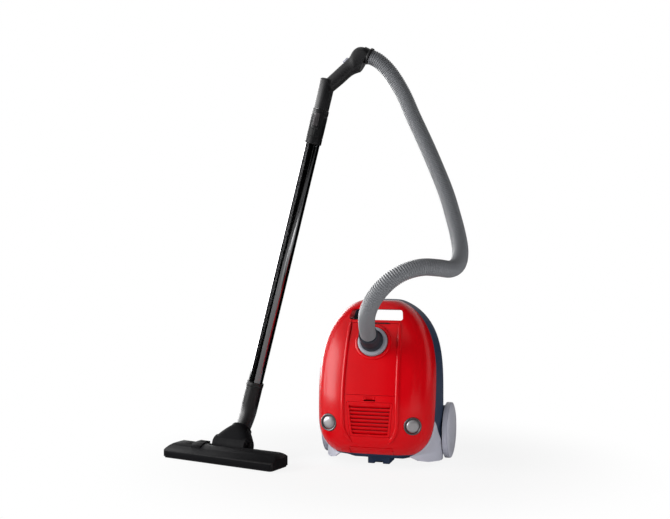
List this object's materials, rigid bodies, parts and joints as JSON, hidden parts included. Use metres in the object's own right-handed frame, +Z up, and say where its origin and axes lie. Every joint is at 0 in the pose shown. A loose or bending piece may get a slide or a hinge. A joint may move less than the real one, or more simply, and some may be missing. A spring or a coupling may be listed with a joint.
{
  "type": "canister vacuum cleaner",
  "caption": "Canister vacuum cleaner parked upright on its tail, hose looping from the lid inlet to the handle of a telescopic wand that leans beside it with a floor nozzle.",
  "frame": {"origin": "centre of the flat underside of the standing foot at the canister's tail, on the floor", "axes": "+Z up; -Y towards the glossy cover with the hose inlet, buttons and exhaust grille; +Y towards the chassis with the castor and the wheels; the wand leans on the -X side"},
  "size_m": [0.7339, 0.5013, 0.9699],
  "materials": {
    "red_gloss": "high gloss red moulded plastic",
    "chassis_blue": "satin blue-grey moulded plastic",
    "pale_grey": "pale lilac-grey moulded plastic",
    "button_metal": "silver-painted plastic",
    "black_plastic": "satin black moulded plastic",
    "hose_grey": "ribbed grey flexible plastic",
    "black_rubber": "soft black rubber",
    "bristle": "rows of black nylon bristle",
    "chrome_tube": "polished chrome-plated steel tube",
    "steel": "plain steel",
    "white_plastic": "off-white moulded plastic",
    "foam": "open-cell filter foam",
    "bag_paper": "non-woven dust bag paper"
  },
  "bodies": {
    "canister": {"top_cover": "red_gloss", "chassis": "chassis_blue", "lid_hinge_pin": "steel", "exhaust_filter": "foam", "wheel_arch_left": "pale_grey", "wheel_arch_right": "pale_grey", "wheel_axle_left": "steel", "wheel_axle_right": "steel", "button_bezel_left": "button_metal", "button_bezel_right": "button_metal", "power_switch": "white_plastic", "cord_outlet": "black_rubber", "bulkhead": "chassis_blue", "motor_filter": "foam", "motor_housing": "white_plastic", "motor": "steel", "reel_axle": "steel", "bag_holder": "white_plastic", "dust_bag": "bag_paper"},
    "lid": {"dust_cover": "red_gloss", "inlet_collar": "pale_grey", "inlet_seal": "black_rubber"},
    "lid_catch": {"lid_latch": "red_gloss"},
    "grille": {"exhaust_grille": "red_gloss"},
    "power_key": {"power_button": "button_metal"},
    "rewind_key": {"rewind_button": "button_metal"},
    "wheel_l": {"wheel_left": "pale_grey"},
    "wheel_r": {"wheel_right": "pale_grey"},
    "castor_swivel": {"castor_fork": "chassis_blue", "castor_axle": "steel"},
    "castor_roll": {"castor_wheel": "pale_grey"},
    "fan_rotor": {"fan": "white_plastic"},
    "reel_drum": {"cord_reel": "white_plastic"},
    "hose_set": {"hose_elbow": "black_plastic", "hose": "hose_grey", "hose_cuff": "black_plastic"},
    "grip": {"handle": "black_plastic", "inner_tube": "chrome_tube"},
    "slider": {"suction_slider": "pale_grey"},
    "lower_tube": {"outer_tube": "chrome_tube", "tube_collar": "black_plastic", "neck_elbow": "black_plastic"},
    "tube_lock": {"tube_lock_button": "button_metal"},
    "yoke": {"neck_yoke": "black_plastic"},
    "nozzle": {"nozzle_shell": "black_plastic", "nozzle_soleplate": "black_plastic"},
    "pedal": {"nozzle_pedal": "black_plastic"},
    "bristles_front": {"brush_front": "bristle"},
    "bristles_rear": {"brush_rear": "bristle"},
    "roller_l": {"roller_left": "pale_grey"},
    "roller_r": {"roller_right": "pale_grey"}
  },
  "joints": [
    {"name": "lid_hinge", "type": "hinge", "parent": "canister", "child": "lid", "pos_m": [0, -0.06725, 0.3313], "axis": [-1, 0, 0], "range_deg": [0, 60]},
    {"name": "latch_slide", "type": "slide", "parent": "canister", "child": "lid_catch", "axis": [0, 0, -1], "range_m": [0, 0.003], "stiffness_N_per_m": 400, "springref_m": -0.001},
    {"name": "grille_tilt", "type": "hinge", "parent": "canister", "child": "grille", "pos_m": [0, -0.11819, 0.0799], "axis": [1, 0, 0], "range_deg": [0, 35]},
    {"name": "power_press", "type": "slide", "parent": "canister", "child": "power_key", "axis": [0.225, 0.9744, 0], "range_m": [0, 0.004], "stiffness_N_per_m": 600, "springref_m": -0.001},
    {"name": "rewind_press", "type": "slide", "parent": "canister", "child": "rewind_key", "axis": [-0.225, 0.9744, 0], "range_m": [0, 0.004], "stiffness_N_per_m": 600, "springref_m": -0.001},
    {"name": "wheel_left_spin", "type": "hinge", "parent": "canister", "child": "wheel_l", "pos_m": [-0.145, 0.08516, 0.066], "axis": [1, 0, 0], "continuous": true},
    {"name": "wheel_right_spin", "type": "hinge", "parent": "canister", "child": "wheel_r", "pos_m": [0.145, 0.08516, 0.066], "axis": [1, 0, 0], "continuous": true},
    {"name": "castor_swivel_turn", "type": "hinge", "parent": "canister", "child": "castor_swivel", "pos_m": [0, 0.12256, 0.292], "axis": [0, 1, 0], "continuous": true},
    {"name": "castor_wheel_spin", "type": "hinge", "parent": "castor_swivel", "child": "castor_roll", "pos_m": [0, 0.13966, 0.278], "axis": [1, 0, 0], "continuous": true},
    {"name": "fan_spin", "type": "hinge", "parent": "canister", "child": "fan_rotor", "pos_m": [-0.054, 0.024, 0.12], "axis": [0, 0, 1], "continuous": true},
    {"name": "reel_spin", "type": "hinge", "parent": "canister", "child": "reel_drum", "pos_m": [0.058, 0.03, 0.096], "axis": [1, 0, 0], "continuous": true},
    {"name": "inlet_swivel", "type": "hinge", "parent": "lid", "child": "hose_set", "pos_m": [0, -0.08591, 0.29], "axis": [0, -0.9272, 0.3746], "range_deg": [-160, 30]},
    {"name": "handle_swivel", "type": "hinge", "parent": "hose_set", "child": "grip", "pos_m": [-0.025, -0.005, 0.946], "axis": [-0.8828, -0.0518, 0.4669], "range_deg": [-45, 45]},
    {"name": "suction_slide", "type": "slide", "parent": "grip", "child": "slider", "axis": [0.7503, 0.067, 0.6577], "range_m": [-0.009, 0.002]},
    {"name": "telescope", "type": "slide", "parent": "grip", "child": "lower_tube", "axis": [-0.2393, -0.0214, -0.9707], "range_m": [0, 0.32]},
    {"name": "tube_lock_press", "type": "slide", "parent": "lower_tube", "child": "tube_lock", "axis": [-0.0889, 0.996, 0], "range_m": [0, 0.0025], "stiffness_N_per_m": 800, "springref_m": -0.001},
    {"name": "neck_swivel", "type": "hinge", "parent": "lower_tube", "child": "yoke", "pos_m": [-0.34182, -0.07949, 0.035], "axis": [0.2258, 0.678, 0.6995], "range_deg": [-45, 45]},
    {"name": "nozzle_tilt", "type": "hinge", "parent": "yoke", "child": "nozzle", "pos_m": [-0.34182, -0.07949, 0.035], "axis": [0.9659, -0.2588, 0], "range_deg": [-44, 25]},
    {"name": "pedal_rock", "type": "hinge", "parent": "nozzle", "child": "pedal", "pos_m": [-0.42636, -0.10136, 0.025], "axis": [-0.9659, 0.2588, 0], "range_deg": [0, 8]},
    {"name": "brush_front_lift", "type": "slide", "parent": "nozzle", "child": "bristles_front", "axis": [0, 0, 1], "range_m": [0, 0.005]},
    {"name": "brush_rear_lift", "type": "slide", "parent": "nozzle", "child": "bristles_rear", "axis": [0, 0, 1], "range_m": [0, 0.005]},
    {"name": "roller_left_spin", "type": "hinge", "parent": "nozzle", "child": "roller_l", "pos_m": [-0.4446, -0.06127, 0.008], "axis": [0.9659, -0.2588, 0], "continuous": true},
    {"name": "roller_right_spin", "type": "hinge", "parent": "nozzle", "child": "roller_r", "pos_m": [-0.24369, -0.1151, 0.008], "axis": [0.9659, -0.2588, 0], "continuous": true}
  ],
  "couplings": [
    {"joint": "brush_front_lift", "follows": "pedal_rock", "m_per_rad": 0.0358},
    {"joint": "brush_rear_lift", "follows": "pedal_rock", "m_per_rad": 0.0358}
  ]
}
